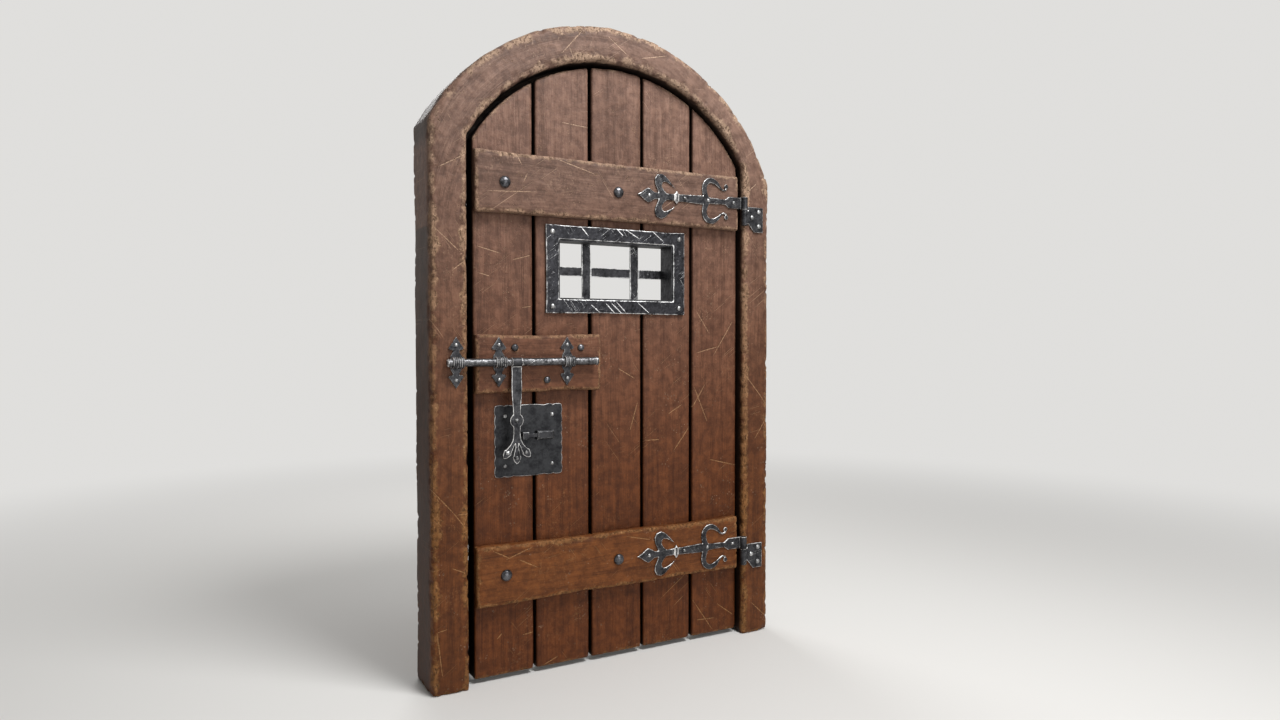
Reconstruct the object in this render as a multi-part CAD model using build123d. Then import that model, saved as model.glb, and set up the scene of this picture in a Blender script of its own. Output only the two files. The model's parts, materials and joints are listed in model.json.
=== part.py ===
from build123d import *
from math import asin, cos, pi, sin
import os

# A round-headed plank door in its timber frame, with hand-forged iron hardware.
# Millimetres. +X runs to the hinge side, the front faces -Y, +Z is up and the feet stand on z = 0.
# A depth is measured from the frame's front face, positive towards the back.

# Frame
frame_width = 1250.0
frame_height = 2087.0
frame_depth = 182.0
jamb_width = 121.0
head_width = 120.0
crown_shift = -20.0
outer_ease = 59.0
opening_ease = 83.0
stop_width = 34.0
frame_arris = 10.0
hewn_wave = 5.0
opening_wave = 1.5
wave_pitch = 430.0
hewn_step = 170.0
arc_step = 88.0
tenon_offset = 36.0
tenon_width = 40.0
tenon_thickness = 54.0
tenon_height = 60.0
peg_radius = 9.0
peg_sides = 8
peg_clearance = 0.3
peg_depth = 58.0
peg_end_gap = 1.0

# Leaf: planks run from the lock edge to the hinge edge
lock_edge_gap = 23.0
hinge_edge_gap = 6.0
floor_gap = 14.0
head_gap = 8.0
leaf_ease = 80.5
plank_shares = (200.0, 196.5, 194.5, 196.0, 192.0)
plank_thickness = 70.0
plank_groove = 10.0
plank_lap = 14.0
plank_arris = 3.0
lap_clearance = 1.0
stop_clearance = 2.0

# Ledges stand flush with the frame's front
ledge_thickness = 34.0
ledge_arris = 5.0
ledge_wave = 6.0
ledge_step = 120.0
ledge_overhang = 3.0
ledge_end_inset = 14.0
top_ledge_height = 194.0
top_ledge_drop = 410.0
bottom_ledge_height = 190.0
bottom_ledge_rise = 324.0
lock_ledge_height = 185.0
lock_ledge_share = 0.781
lock_ledge_length = 424.0

# Clenched studs through ledges and planks
stud_radius = 19.0
stud_height = 12.0
stud_shank = 9.0
stud_sides = 14
stud_tiers = 3
small_stud_radius = 12.0
small_stud_height = 8.0
small_stud_shank = 7.0
rove_size = 26.0
rove_thickness = 4.0
shank_clearance = 0.3
stud_offset = 92.0
stud_tip_gap = 67.0
small_stud_offsets = ((122.0, 49.0), (346.0, 48.0), (229.0, -53.0))

# Window with its iron frame, liner and grille
window_shift = 5.5
window_drop = 256.5
window_width = 425.0
window_height = 191.0
border_width = 47.0
border_thickness = 10.0
border_wave = 3.0
border_step = 62.0
border_rivet_inset = 23.5
liner_thickness = 4.0
liner_set_back = 6.0
liner_clearance = 0.5
bar_width = 33.0
bar_thickness = 8.0
bar_lap = 45.0
bar_wave = 2.0
bar_step = 48.0
bar_offsets = (-80.0, 103.0)

# Small hand-made nails
nail_head_radius = 8.5
nail_head_height = 5.0
nail_shank = 6.0
nail_length = 30.0
fine_nail_radius = 6.0
fine_nail_height = 4.0
nail_sides = 8
nail_tiers = 2

# Strap hinges: distances run from the pivot towards the lock edge
pivot_inset = 1.0
knuckle_radius = 12.0
knuckle_top = 22.0
knuckle_split = -23.5
knuckle_bottom = -79.0
knuckle_gap = 0.5
hinge_pin_radius = 6.0
hinge_pin_clearance = 0.05
hinge_pin_chamfer = 1.0
strap_thickness = 5.0
strap_length = 430.0
strap_width = 21.0
strap_waist = 18.0
root_length = 73.0
root_width = 41.0
finial_length = 85.0
finial_width = 48.0
petal_reach = 76.0
scroll_distance = 149.0
scroll_reach = 80.0
curl_radius = 8.5
collar_distance = 277.0
collar_width = 15.0
collar_height = 46.0
collar_thickness = 8.0
collar_chamfer = 2.5
strap_rivets = (41.0, 149.0, 244.0, 384.0)
pintle_width = 66.0
pintle_start = 22.0
pintle_top = -9.0
pintle_bottom = -99.0
pintle_corner = 26.0
pintle_rivets = ((46.0, 16.0), (17.0, 38.0), (46.0, 68.0))

# Bolt and its keepers
bolt_rise = 5.0
bolt_stand_off = 19.0
bolt_radius = 12.5
bolt_reveal = 33.0
bolt_tail = 101.0
bolt_end_chamfer = 3.0
bolt_head_radius = 14.5
bolt_head_length = 9.0
frame_keeper_offset = 41.0
outer_keeper_offset = 69.5
inner_keeper_offset = 297.0
keeper_clearance = 0.5
keeper_wall = 3.5
reed_height = 2.0
reed_width = 6.5
reed_pitch = 12.5
keeper_length = 35.0
keeper_thickness = 4.0
keeper_reach = 78.0
spade_width = 48.0
spade_base = 40.0
spade_rivet = 53.0
keeper_neck = 20.0
barrel_sides = 14

# Hasp hanging on the bolt
hasp_offset = 50.5
hasp_thickness = 5.0
eye_neck_radius = 9.5
eye_clearance = 0.08
eye_wall = 4.5
eye_length = 34.0
eye_side_clearance = 0.5
boss_drop = 180.0
boss_radius = 22.0
boss_sides = 16
foot_split_drop = 249.0
foot_drop = 315.0
lobe_offset = 30.0
lobe_drop = 278.0
lobe_radius = 13.5

# Lock plate and its sliding catch
plate_width = 229.0
plate_height = 227.0
plate_thickness = 3.0
plate_offset = 59.5
plate_drop = 248.5
plate_nail_inset = 35.0
scallop_depth = 3.0
catch_rise = 15.5
catch_offset = 21.5
catch_guide_length = 57.0
catch_guide_height = 28.0
catch_guide_depth = 19.0
catch_guide_bevel = 4.0
catch_neck = 12.0
catch_neck_reveal = 28.0
catch_neck_hold = 22.0
catch_head_length = 22.0
catch_head_height = 25.0
catch_head_depth = 21.0
catch_head_bevel = 2.0
catch_clearance = 0.5
catch_socket_end = 3.0

# Worked out from the sizes above
bolt_bore = bolt_radius + keeper_clearance
keeper_outer = bolt_bore + keeper_wall
hardware_reach = bolt_stand_off + keeper_outer + reed_height
front_y = (hardware_reach - frame_depth) / 2
opening_half = frame_width / 2 - jamb_width
opening_top = frame_height - head_width
outer_radius = frame_width / 2 + outer_ease
opening_radius = opening_half + opening_ease
outer_centre = (crown_shift, frame_height - outer_radius)
opening_centre = (0, opening_top - opening_radius)
joint_height = opening_centre[1] + (opening_radius**2 - opening_half**2) ** 0.5
leaf_left = lock_edge_gap - opening_half
leaf_right = opening_half - hinge_edge_gap
leaf_width = leaf_right - leaf_left
leaf_top = opening_top - head_gap
leaf_radius = leaf_width / 2 + leaf_ease
leaf_centre = ((leaf_left + leaf_right) / 2, leaf_top - leaf_radius)
leaf_back = ledge_thickness + plank_thickness
stop_depth = leaf_back + stop_clearance
ledge_left = leaf_left - ledge_overhang
ledge_right = leaf_right - ledge_end_inset
top_ledge_middle = leaf_top - top_ledge_drop
bottom_ledge_middle = floor_gap + bottom_ledge_rise
window_middle_x = leaf_centre[0] + window_shift
window_middle_z = top_ledge_middle - window_drop
border_bottom = window_middle_z - window_height / 2 - border_width
bottom_ledge_top = bottom_ledge_middle + bottom_ledge_height / 2
lock_ledge_middle = bottom_ledge_top + lock_ledge_share * (border_bottom - bottom_ledge_top)
pivot_x = leaf_right + pivot_inset
hinge_levels = {"upper": top_ledge_middle, "lower": bottom_ledge_middle}
bolt_height = lock_ledge_middle + bolt_rise
frame_keeper_x = -opening_half - frame_keeper_offset
outer_keeper_x = leaf_left + outer_keeper_offset
inner_keeper_x = leaf_left + inner_keeper_offset
bolt_left = frame_keeper_x - bolt_reveal
bolt_right = inner_keeper_x + bolt_tail
hasp_x = outer_keeper_x + hasp_offset
plate_middle_x = hasp_x + plate_offset
plate_middle_z = bolt_height - plate_drop
catch_height = plate_middle_z + catch_rise
catch_guide_left = plate_middle_x + catch_offset


def facing(depth):
    """A drawing plane that faces the front: x to the right, y up."""
    return Plane.XZ.offset(-(front_y + depth))


def slab(face, front, back):
    """A face of the front elevation made solid between two depths."""
    return extrude(facing(back) * face, amount=back - front)


def block(left, right, bottom, top, front, back):
    """A plain box from its six bounds."""
    middle = ((left + right) / 2, front_y + (front + back) / 2, (bottom + top) / 2)
    return Pos(*middle) * Box(right - left, back - front, top - bottom)


def polygon(points):
    return make_face(Polyline(*points, close=True))


def wave(distance, height, phase):
    """Unevenness of an edge cut by eye, from nothing to its full height."""
    slow = sin(2 * pi * distance / wave_pitch + phase)
    quick = sin(2 * pi * distance / (0.41 * wave_pitch) + 2.3 * phase)
    return height * (0.5 + 0.32 * slow + 0.18 * quick)


def hewn_line(start, end, height, phase, step=hewn_step):
    """Corners of a hewn edge between two true corners; a positive wave swings to the left of its run."""
    run = Vector(*end) - Vector(*start)
    along = run.normalized()
    across = Vector(-along.Y, along.X)
    count = max(2, round(run.length / step))
    points = [Vector(*start)]
    for i in range(1, count):
        distance = run.length * i / count
        points.append(Vector(*start) + along * distance + across * wave(distance, height, phase))
    return points + [Vector(*end)]


def hewn_arc(centre, radius, start, end, height, phase):
    """Corners of a hewn arc; angles run clockwise from straight up."""
    count = max(3, round(abs(end - start) * radius / arc_step))
    points = []
    for i in range(count + 1):
        angle = start + (end - start) * i / count
        reach = radius
        if 0 < i < count:
            reach += wave(radius * angle, height, phase)
        points.append(Vector(centre[0] + reach * sin(angle), centre[1] + reach * cos(angle)))
    return points


def springing(side_x, centre, radius):
    """The point where an upright side meets the arc above it."""
    return side_x, centre[1] + (radius**2 - (side_x - centre[0]) ** 2) ** 0.5


def hewn_round_head(half_width, centre, radius, height, phase):
    """A round-headed face standing on the floor, with hewn sides."""
    left = springing(-half_width, centre, radius)
    right = springing(half_width, centre, radius)
    corners = hewn_line((-half_width, 0), left, height, phase)
    corners += hewn_arc(centre, radius, asin((left[0] - centre[0]) / radius), 0, height, phase + 1)[1:]
    corners += hewn_arc(centre, radius, 0, asin((right[0] - centre[0]) / radius), height, phase + 2)[1:]
    corners += hewn_line(right, (half_width, 0), height, phase + 3)[1:]
    return polygon(corners)


def true_round_head(left_x, right_x, bottom, centre, radius):
    """A round-headed face with straight sides and a true arc."""
    left = springing(left_x, centre, radius)
    right = springing(right_x, centre, radius)
    crown = (centre[0], centre[1] + radius)
    return make_face(
        [
            Line((left_x, bottom), left),
            ThreePointArc(left, crown, right),
            Line(right, (right_x, bottom)),
            Line((right_x, bottom), (left_x, bottom)),
        ]
    )


def board(left, right, bottom, top, height, phase, step):
    """A board's face with straight ends; its hewn long edges fall short of full width by the wave."""
    upper = hewn_line((left, top), (right, top), -height, phase, step)
    lower = hewn_line((right, bottom), (left, bottom), -height, phase + 1.7, step)
    return polygon(upper + lower)


def ribbon(points, widths, count=9):
    """A forged arm that changes width along a curved line."""
    line = Spline(*points)
    spans = len(widths) - 1
    left = []
    right = []
    for i in range(count + 1):
        share = i / count
        span = min(int(share * spans), spans - 1)
        part = share * spans - span
        half = (widths[span] * (1 - part) + widths[span + 1] * part) / 2
        along = line % share
        across = Vector(-along.Y, along.X) * half
        left.append((line @ share) + across)
        right.append((line @ share) - across)
    return polygon(left + right[::-1])


def shank_hole(x, z, front, back, size):
    """The square hole of a forged shank."""
    half = size / 2 + shank_clearance
    return block(x - half, x + half, z - half, z + half, front, back)


def faceted_dome(radius, height, sides, tiers):
    """A hammered dome of flat facets, standing on z = 0 with a small flat on top."""
    sphere = (radius**2 + height**2) / (2 * height)
    slope = asin(radius / sphere)
    rings = []
    for i in range(tiers + 1):
        tilt = slope * (1 - i / (tiers + 0.5))
        reach = sphere * sin(tilt)
        level = sphere * cos(tilt) + height - sphere
        turns = [2 * pi * k / sides for k in range(sides)]
        rings.append([(reach * cos(turn), reach * sin(turn), level) for turn in turns])
    walls = [rings[0][::-1], rings[-1]]
    for low, high in zip(rings, rings[1:]):
        for k in range(sides):
            after = (k + 1) % sides
            walls.append([low[k], low[after], high[after], high[k]])
    return Solid(Shell([Face(Wire.make_polygon(wall)) for wall in walls]))


def nail_body(radius, height, shank, length, sides=nail_sides, tiers=nail_tiers):
    """A nail at the origin: faceted head to the front, square shank behind."""
    head = Rot(90, 0, 0) * faceted_dome(radius, height, sides, tiers)
    return head + Pos(0, length / 2, 0) * Box(shank, length, shank)


def placed(body, places, seat):
    """Copies of a nail with their heads seated at a depth."""
    return [Pos(x, front_y + seat, z) * body for x, z in places]


def bore_x(x0, x1, radius):
    """A round bar along the bolt's axis."""
    middle = ((x0 + x1) / 2, front_y - bolt_stand_off, bolt_height)
    return Pos(*middle) * Rot(0, 90, 0) * Cylinder(radius, x1 - x0)


def bar_z(bottom, top, radius):
    """An upright round bar on the hinge axis."""
    return Pos(pivot_x, front_y - knuckle_radius, (bottom + top) / 2) * Cylinder(radius, top - bottom)


def front_edges(solid, depth):
    """Edges that lie on the face at a depth."""
    level = front_y + depth
    return [
        edge
        for edge in solid.edges()
        if abs(edge.bounding_box().min.Y - level) < 0.01 and abs(edge.bounding_box().max.Y - level) < 0.01
    ]


def cut_where_met(body, tools):
    """Cut with each tool whose box meets the body's box."""
    bounds = body.bounding_box()
    for tool in tools:
        other = tool.bounding_box()
        apart_x = other.min.X > bounds.max.X or other.max.X < bounds.min.X
        apart_y = other.min.Y > bounds.max.Y or other.max.Y < bounds.min.Y
        apart_z = other.min.Z > bounds.max.Z or other.max.Z < bounds.min.Z
        if not (apart_x or apart_y or apart_z):
            body -= tool
    return body


# Frame: two jambs and an arched head, with a stop left standing behind the leaf
def frame_ring():
    outer = hewn_round_head(frame_width / 2, outer_centre, outer_radius, -hewn_wave, 0.4)
    opening = hewn_round_head(opening_half, opening_centre, opening_radius, opening_wave, 2.1)
    stop_half = opening_half - stop_width
    stop_radius = opening_radius - stop_width
    stop_void = true_round_head(-stop_half, stop_half, 0, opening_centre, stop_radius)
    front = slab(outer - opening, 0, stop_depth)
    arrises = [edge for edge in front_edges(front, 0) if edge.center().Z > 1]
    return chamfer(arrises, frame_arris) + slab(outer - stop_void, stop_depth, frame_depth)


def tenon_middle(side):
    return side * (opening_half + tenon_offset)


def tenon_block(side, clearance):
    middle = tenon_middle(side)
    half = tenon_width / 2 + clearance
    front = (frame_depth - tenon_thickness) / 2 - clearance
    back = front + tenon_thickness + 2 * clearance
    return block(middle - half, middle + half, joint_height - 1, joint_height + tenon_height + clearance, front, back)


def peg(side, radius, start):
    """An eight-sided peg driven from the back, or the hole for it."""
    face = Pos(tenon_middle(side), joint_height + tenon_height / 2) * RegularPolygon(radius, peg_sides)
    return slab(face, start, frame_depth)


def split_frame():
    """The ring parted at the springing; tenons on the jambs, mortises in the head."""
    ring = frame_ring()
    span = frame_width
    tall = frame_height
    head = ring & block(-span, span, joint_height, 2 * tall, -1, frame_depth + 1)
    jambs = []
    for side, low in ((-1, -span), (1, 0)):
        jamb = ring & block(low, low + span, -1, joint_height, -1, frame_depth + 1)
        hole = peg(side, peg_radius + peg_clearance, peg_depth)
        jambs.append(jamb + tenon_block(side, 0) - hole)
        head -= tenon_block(side, peg_clearance)
        head -= hole
    return jambs[0], jambs[1], head


# Leaf planks, lapped behind their grooves
def plank_bounds():
    bounds = [leaf_left]
    for share in plank_shares:
        bounds.append(bounds[-1] + leaf_width * share / sum(plank_shares))
    return bounds


def window_void(extra, front, back):
    half_x = window_width / 2 + extra
    half_z = window_height / 2 + extra
    low = window_middle_z - half_z
    return block(window_middle_x - half_x, window_middle_x + half_x, low, low + 2 * half_z, front, back)


def plank(index, leaf_solid):
    bounds = plank_bounds()
    last = len(plank_shares) - 1
    half_groove = plank_groove / 2
    left = bounds[index] + (half_groove if index > 0 else 0)
    right = bounds[index + 1] - (half_groove if index < last else 0)
    lap_left = bounds[index] + (plank_lap + lap_clearance if index > 0 else 0)
    lap_right = bounds[index + 1] + (plank_lap if index < last else 0)
    middle = ledge_thickness + plank_thickness / 2
    front_half = block(left, right, 0, frame_height, ledge_thickness, middle)
    arrises = [edge for edge in front_edges(front_half, ledge_thickness) if edge.length > frame_height / 2]
    front_half = fillet(arrises, plank_arris)
    back_half = block(lap_left, lap_right, 0, frame_height, middle, leaf_back)
    body = (front_half + back_half) & leaf_solid
    return body - window_void(liner_clearance, 0, frame_depth)


def planks():
    leaf_face = true_round_head(leaf_left, leaf_right, floor_gap, leaf_centre, leaf_radius)
    leaf_solid = slab(leaf_face, ledge_thickness, leaf_back)
    first, second, middle, fourth, fifth = (plank(i, leaf_solid) for i in range(len(plank_shares)))
    upper = block(leaf_left, leaf_right, window_middle_z, frame_height, 0, frame_depth)
    return {
        "plank_lock_edge": first,
        "plank_window_left": second,
        "plank_above_window": middle & upper,
        "plank_below_window": middle - upper,
        "plank_window_right": fourth,
        "plank_hinge_edge": fifth,
    }


# Ledges
def ledge(right, middle, height, phase):
    face = board(ledge_left, right, middle - height / 2, middle + height / 2, ledge_wave, phase, ledge_step)
    body = slab(face, 0, ledge_thickness)
    return chamfer(front_edges(body, 0), ledge_arris)


def ledges():
    return {
        "top_ledge": ledge(ledge_right, top_ledge_middle, top_ledge_height, 0.3),
        "bottom_ledge": ledge(ledge_right, bottom_ledge_middle, bottom_ledge_height, 3.4),
        "lock_ledge": ledge(ledge_left + lock_ledge_length, lock_ledge_middle, lock_ledge_height, 5.2),
    }


def stud_places():
    across = (leaf_left + stud_offset, pivot_x - strap_length - stud_tip_gap)
    return [(x, z) for z in (top_ledge_middle, bottom_ledge_middle) for x in across]


def small_stud_places():
    return [(leaf_left + x, lock_ledge_middle + z) for x, z in small_stud_offsets]


def stud_holes():
    """Holes through ledge, plank and rove."""
    back = leaf_back + rove_thickness + 1
    holes = [shank_hole(x, z, -1, back, stud_shank) for x, z in stud_places()]
    return holes + [shank_hole(x, z, -1, back, small_stud_shank) for x, z in small_stud_places()]


def studs():
    length = leaf_back + rove_thickness
    large = nail_body(stud_radius, stud_height, stud_shank, length, stud_sides, stud_tiers)
    small = nail_body(small_stud_radius, small_stud_height, small_stud_shank, length, stud_sides)
    return {
        "large_studs": placed(large, stud_places(), 0),
        "small_studs": placed(small, small_stud_places(), 0),
    }


def roves():
    """Diamond washers on the back, over which the shanks are clenched."""
    half = rove_size / 2
    plates = []
    for x, z in stud_places() + small_stud_places():
        face = polygon([(x - half, z), (x, z + half), (x + half, z), (x, z - half)])
        plates.append(cut_where_met(slab(face, leaf_back, leaf_back + rove_thickness), stud_holes()))
    return plates


# Window
def hewn_frame(half_x, half_z, height, phase):
    """A rectangle with hammered edges round the window's middle."""
    left = window_middle_x - half_x
    right = window_middle_x + half_x
    bottom = window_middle_z - half_z
    top = window_middle_z + half_z
    corners = hewn_line((left, bottom), (left, top), height, phase, border_step)
    corners += hewn_line((left, top), (right, top), height, phase + 1, border_step)[1:]
    corners += hewn_line((right, top), (right, bottom), height, phase + 2, border_step)[1:]
    corners += hewn_line((right, bottom), (left, bottom), height, phase + 3, border_step)[1:-1]
    return polygon(corners)


def window_border():
    half_x = window_width / 2
    half_z = window_height / 2
    outer = hewn_frame(half_x + border_width, half_z + border_width, -border_wave, 0.6)
    inner = hewn_frame(half_x, half_z, 0, 0)
    return slab(outer - inner, ledge_thickness - border_thickness, ledge_thickness)


def border_rivet_places():
    reach_x = window_width / 2 + border_rivet_inset
    reach_z = window_height / 2 + border_rivet_inset
    return [(window_middle_x + a * reach_x, window_middle_z + b * reach_z) for a in (-1, 1) for b in (-1, 1)]


def window_liner():
    front = ledge_thickness - border_thickness + liner_set_back
    return window_void(0, front, leaf_back) - window_void(-liner_thickness, 0, frame_depth)


def grille_upright(offset):
    """An upright bar on the leaf's back, notched behind for the crossbar."""
    middle = window_middle_x + offset
    reach = window_height / 2 + bar_lap
    half = bar_width / 2
    low = (middle - half, window_middle_z - reach)
    high = (middle + half, window_middle_z + reach)
    corners = hewn_line(low, (low[0], high[1]), -bar_wave, offset, bar_step)
    corners += hewn_line(high, (high[0], low[1]), -bar_wave, offset + 1, bar_step)
    bar = slab(polygon(corners), leaf_back, leaf_back + bar_thickness)
    behind = leaf_back + bar_thickness / 2
    notch = half + shank_clearance
    level = window_middle_z
    return bar - block(low[0] - 1, high[0] + 1, level - notch, level + notch, behind, frame_depth)


def grille_crossbar():
    """The level bar, notched in front where it passes behind the uprights."""
    reach = window_width / 2 + bar_lap
    half = bar_width / 2
    level = window_middle_z
    face = board(
        window_middle_x - reach, window_middle_x + reach, level - half, level + half, bar_wave, 0.9, 1.6 * bar_step
    )
    bar = slab(face, leaf_back, leaf_back + bar_thickness)
    notch = half + shank_clearance
    for offset in bar_offsets:
        middle = window_middle_x + offset
        bar -= block(
            middle - notch, middle + notch, level - bar_width, level + bar_width, 0, leaf_back + bar_thickness / 2
        )
    return bar


def grille_nail_places():
    reach_z = window_height / 2 + bar_lap / 2
    reach_x = window_width / 2 + bar_lap / 2
    places = [(window_middle_x + x, window_middle_z + side * reach_z) for x in bar_offsets for side in (-1, 1)]
    return places + [(window_middle_x + side * reach_x, window_middle_z) for side in (-1, 1)]


# Strap hinges
def on_strap(level, distance, rise):
    """A point of a strap from its distance to the pivot and its rise above the middle line."""
    return pivot_x - distance, level + rise


def strap_bar(level):
    """The root and the bar, waisted between root and scrolls and swelling beyond them."""
    waist = strap_waist / 2
    half = strap_width / 2
    root = root_width / 2
    upper = [
        (0, root),
        (root_length - 12, root),
        (root_length + 4, waist),
        (scroll_distance - 10, waist + 2),
        (scroll_distance + 28, half + 5),
        (collar_distance, half + 1),
        (strap_length - finial_length, half),
    ]
    lower = [(distance, -rise) for distance, rise in reversed(upper)]
    return polygon([on_strap(level, distance, rise) for distance, rise in upper + lower])


def finial(level):
    """The pointed leaf at the strap's tip."""
    neck = strap_length - finial_length
    half = finial_width / 2
    shape = [(0, 0.42), (0.2, 0.48), (0.34, 0.78), (0.44, 0.99), (0.5, 1), (0.6, 0.85), (0.8, 0.32)]
    upper = [(neck + share * finial_length, swell * half) for share, swell in shape]
    lower = [(distance, -rise) for distance, rise in reversed(upper)]
    tip = [(strap_length, 0)]
    return polygon([on_strap(level, distance, rise) for distance, rise in upper + tip + lower])


def petal(level, side):
    """One of the pair of petals that swell beside the finial and curl back to a point."""
    neck = strap_length - finial_length
    top = petal_reach
    outer = [(1, 8), (5, 19), (15, 39), (17, 56), (9, top - 5), (-9, top), (-25, top - 7), (-44, top - 25)]
    inner = [(-66, top - 48), (-49, top - 37), (-33, top - 29), (-20, top - 26), (-12, 45), (-11, 33)]
    root = [(-20, 19), (-34, 8)]
    points = [on_strap(level, neck + distance, side * rise) for distance, rise in outer + inner + root]
    return polygon(points)


def scroll(level, side):
    """One of the pair of scrolls, ending in a round curl."""
    top = scroll_reach
    line = [(5, 6), (14, top - 47), (13, top - 28), (3, top - 14), (-14, top - 9), (-30, top - 14)]
    line += [(-46, top - 26), (-62, top - 40), (-75, top - 38), (-81, top - 28)]
    points = [on_strap(level, scroll_distance + distance, side * rise) for distance, rise in line]
    curl = on_strap(level, scroll_distance - 77, side * (top - 26))
    return ribbon(points, (22, 20, 20, 19, 19, 18, 14, 7, 6, 6), 15) + Pos(*curl) * RegularPolygon(curl_radius, 10)


def strap(level):
    face = strap_bar(level) + finial(level)
    for side in (-1, 1):
        face += petal(level, side)
        face += scroll(level, side)
    body = slab(face, -strap_thickness, 0)
    body += strap_collar(level)
    body += bar_z(level + knuckle_split + knuckle_gap, level + knuckle_top, knuckle_radius)
    body -= hinge_bore(level)
    for x, z in strap_rivet_places(level):
        body -= shank_hole(x, z, -collar_thickness, 1, nail_shank)
    return body


def strap_collar(level):
    """A raised band across the bar, pointed above and below."""
    half = collar_width / 2
    tall = collar_height / 2
    shape = [(half, tall - 10), (0, tall), (-half, tall - 10), (-half, 10 - tall), (0, -tall), (half, 10 - tall)]
    face = polygon([on_strap(level, collar_distance + distance, rise) for distance, rise in shape])
    band = slab(face, -collar_thickness, 0)
    return chamfer(front_edges(band, -collar_thickness), collar_chamfer)


def hinge_bore(level):
    return bar_z(level + knuckle_bottom - 1, level + knuckle_top + 1, hinge_pin_radius + hinge_pin_clearance)


def hinge_pin(level):
    pin = bar_z(level + knuckle_bottom, level + knuckle_top, hinge_pin_radius)
    return chamfer(pin.faces().sort_by(Axis.Z)[-1].edges(), hinge_pin_chamfer)


def strap_rivet_places(level):
    return [(pivot_x - distance, level) for distance in strap_rivets]


def pintle_plate(level):
    """The frame's half of a hinge: nailed plate with the lower knuckle."""
    left = pivot_x + pintle_start
    right = left + pintle_width
    top = level + pintle_top
    bottom = level + pintle_bottom
    split = level + knuckle_split
    low = level + knuckle_bottom
    corner = bottom + 1.2 * pintle_corner
    face = polygon([(left, top), (right, top), (right, bottom), (left + pintle_corner, bottom), (left, corner)])
    tongue = polygon([(pivot_x, split), (left + 1, split), (left + 1, corner), (pivot_x, low)])
    body = slab(face + tongue, -strap_thickness, 0)
    body += bar_z(low, split, knuckle_radius)
    body -= hinge_bore(level)
    for x, z in pintle_rivet_places(level):
        body -= shank_hole(x, z, -2 * strap_thickness, 1, nail_shank)
    return body


def pintle_rivet_places(level):
    left = pivot_x + pintle_start
    return [(left + x, level + pintle_top - z) for x, z in pintle_rivets]


def hinges():
    nodes = {}
    strap_nails = []
    pintle_nails = []
    fine = nail_body(fine_nail_radius, fine_nail_height, nail_shank, nail_length)
    full = nail_body(nail_head_radius, nail_head_height, nail_shank, nail_length)
    for name, level in hinge_levels.items():
        nodes[name + "_strap"] = strap(level)
        nodes[name + "_pintle_plate"] = pintle_plate(level)
        nodes[name + "_hinge_pin"] = hinge_pin(level)
        strap_nails += placed(fine, strap_rivet_places(level), -strap_thickness)
        pintle_nails += placed(full, pintle_rivet_places(level), -strap_thickness)
    nodes["strap_nails"] = strap_nails
    nodes["pintle_nails"] = pintle_nails
    return nodes


# Bolt, keepers and hasp
def bolt_rod():
    """A rod with a necked seat for the hasp's eye and a knob at the pull end."""
    rod = bore_x(bolt_left, bolt_right - bolt_head_length, bolt_radius)
    rod = chamfer(rod.faces().sort_by(Axis.X)[0].edges(), bolt_end_chamfer)
    head = bore_x(bolt_right - bolt_head_length, bolt_right, bolt_head_radius)
    head = chamfer(head.faces().sort_by(Axis.X)[-1].edges(), bolt_end_chamfer)
    half = eye_length / 2 + eye_side_clearance
    groove = bore_x(hasp_x - half, hasp_x + half, 2 * bolt_radius)
    groove -= bore_x(hasp_x - half - 1, hasp_x + half + 1, eye_neck_radius)
    return rod + head - groove


def keeper_face(x):
    """Back plate with a spade at each end."""
    half = keeper_length / 2
    neck = keeper_neck / 2
    spade = spade_width / 2
    quarter = [
        (half, 0),
        (half, spade_base / 2),
        (neck, spade_base - 8),
        (neck, spade_base - 2),
        (spade - 5, spade_base - 2),
        (spade, spade_base + 3),
        (0.45 * spade, spade_base + 21),
        (0, keeper_reach),
    ]
    up = [(x + a, bolt_height + b) for a, b in quarter]
    up += [(x - a, bolt_height + b) for a, b in reversed(quarter[:-1])]
    down = [(x - a, bolt_height - b) for a, b in quarter[1:]]
    down += [(x + a, bolt_height - b) for a, b in reversed(quarter[1:-1])]
    return polygon(up + down)


def hammered_tube(x, length, radius):
    """A many-sided bar about the bolt's axis, hammered round."""
    plane = Plane.YZ.offset(x - length / 2) * Pos(front_y - bolt_stand_off, bolt_height)
    return extrude(plane * RegularPolygon(radius, barrel_sides), amount=length)


def keeper(x):
    """A tube for the bolt with three reeds round it, on a spaded plate."""
    body = slab(keeper_face(x), -keeper_thickness, 0)
    half = keeper_length / 2
    body += hammered_tube(x, keeper_length, keeper_outer)
    for i in (-1, 0, 1):
        body += hammered_tube(x + i * reed_pitch, reed_width, keeper_outer + reed_height)
    body -= bore_x(x - half - 1, x + half + 1, bolt_bore)
    for px, pz in keeper_rivet_places(x):
        body -= shank_hole(px, pz, -2 * keeper_thickness, 1, nail_shank)
    return body


def keeper_rivet_places(x):
    return [(x, bolt_height + side * spade_rivet) for side in (-1, 1)]


def keepers():
    fine = nail_body(fine_nail_radius, fine_nail_height, nail_shank, nail_length)
    leaf_places = keeper_rivet_places(outer_keeper_x) + keeper_rivet_places(inner_keeper_x)
    return {
        "frame_keeper": keeper(frame_keeper_x),
        "outer_keeper": keeper(outer_keeper_x),
        "inner_keeper": keeper(inner_keeper_x),
        "frame_keeper_nails": placed(fine, keeper_rivet_places(frame_keeper_x), -keeper_thickness),
        "leaf_keeper_nails": placed(fine, leaf_places, -keeper_thickness),
    }


def on_hasp(side, drop):
    """A point of the hasp from its middle line and its drop below the bolt's axis."""
    return hasp_x + side, bolt_height - drop


def hasp_arm(profile):
    """A symmetric length of the arm from half widths at drops."""
    right = [on_hasp(half, drop) for half, drop in profile]
    left = [on_hasp(-half, drop) for half, drop in reversed(profile)]
    return polygon(right + left)


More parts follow.
